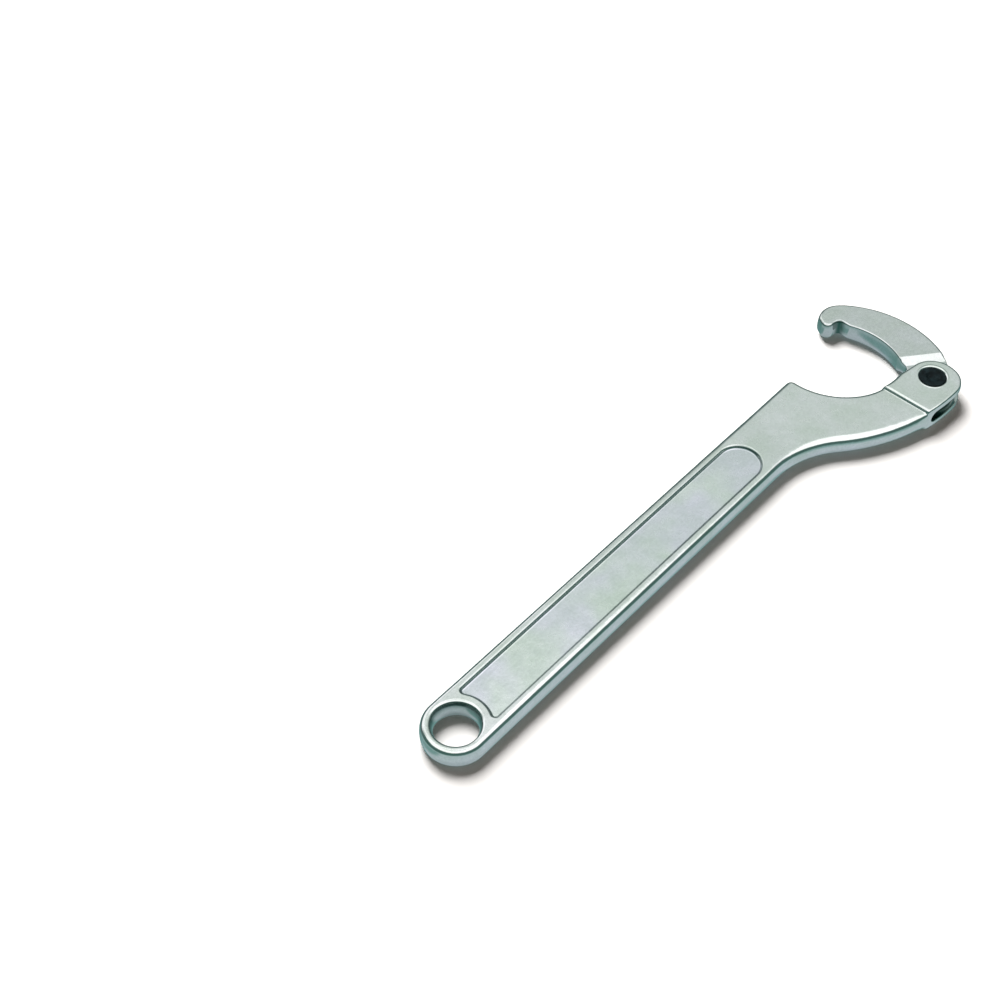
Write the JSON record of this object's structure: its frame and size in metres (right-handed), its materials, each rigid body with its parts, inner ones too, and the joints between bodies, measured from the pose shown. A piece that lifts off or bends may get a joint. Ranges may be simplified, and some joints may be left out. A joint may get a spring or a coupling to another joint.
{
  "type": "hinged hook wrench",
  "caption": "Flat forged wrench with a hanging hole, recessed grip panels and a slotted head; a curved hook with an inward tooth swings on a black riveted pin to grip round couplings.",
  "frame": {"origin": "axis of the hanging hole at mid thickness of the handle", "axes": "+X along the handle to the head, +Y to the side that the jaw opens to, +Z out of a flat face; at rest the hook is part open"},
  "size_m": [0.2933, 0.0711, 0.0114],
  "materials": {
    "handle_chrome": "satin chrome plate over a drop forging, polished at the edges",
    "hook_chrome": "satin chrome plate, finer grain than the handle",
    "pin_black": "black oxide"
  },
  "bodies": {
    "handle_body": {"handle": "handle_chrome", "pivot_pin": "pin_black"},
    "hook_body": {"hook": "hook_chrome"}
  },
  "joints": [
    {"name": "hook_swing", "type": "hinge", "parent": "handle_body", "child": "hook_body", "pos_m": [0.2579, -0.0314, 0], "axis": [0, 0, 1], "range_deg": [-140, 38]}
  ]
}
